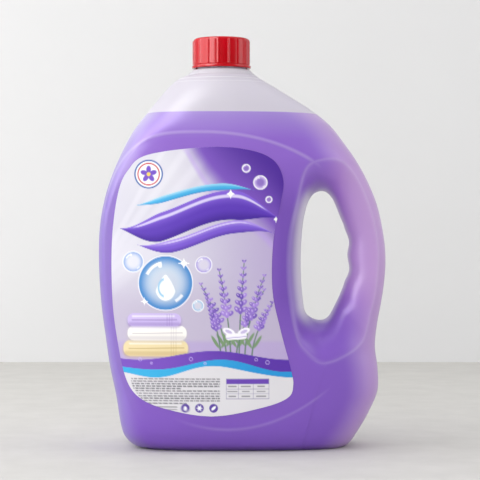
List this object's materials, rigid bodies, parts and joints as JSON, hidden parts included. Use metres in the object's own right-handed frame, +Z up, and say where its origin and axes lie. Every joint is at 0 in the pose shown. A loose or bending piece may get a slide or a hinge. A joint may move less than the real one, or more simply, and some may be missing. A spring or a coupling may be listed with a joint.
{
  "type": "laundry detergent bottle",
  "caption": "Blow-moulded plastic jug with a hollow side handle, curved front label, screw cap on an off-centre neck, and liquid inside.",
  "frame": {"origin": "under the middle of the bottle's width and depth, on the surface that it stands on", "axes": "+Z up, +X from the label side towards the handle, -Y out of the front label"},
  "size_m": [0.2082, 0.0922, 0.2974],
  "materials": {
    "milky_plastic": "milky, soft gloss",
    "detergent": "clear violet liquid",
    "label_film": "printed film, soft gloss",
    "red_plastic": "glossy",
    "white_foam": "matt foam"
  },
  "bodies": {
    "shell": {"bottle": "milky_plastic", "detergent": "detergent", "front_label": "label_film"},
    "liner": {"cap_liner": "white_foam"},
    "cap": {"screw_cap": "red_plastic"}
  },
  "joints": [
    {"name": "cap_rise", "type": "slide", "parent": "shell", "child": "liner", "axis": [0, 0, 1], "range_m": [0, 0.02101]},
    {"name": "cap_turn", "type": "hinge", "parent": "liner", "child": "cap", "pos_m": [-0.016, 0, 0.285], "axis": [0, 0, 1], "range_deg": [0, 1800]}
  ],
  "couplings": [
    {"joint": "cap_rise", "follows": "cap_turn", "m_per_rad": 0.00066845}
  ]
}
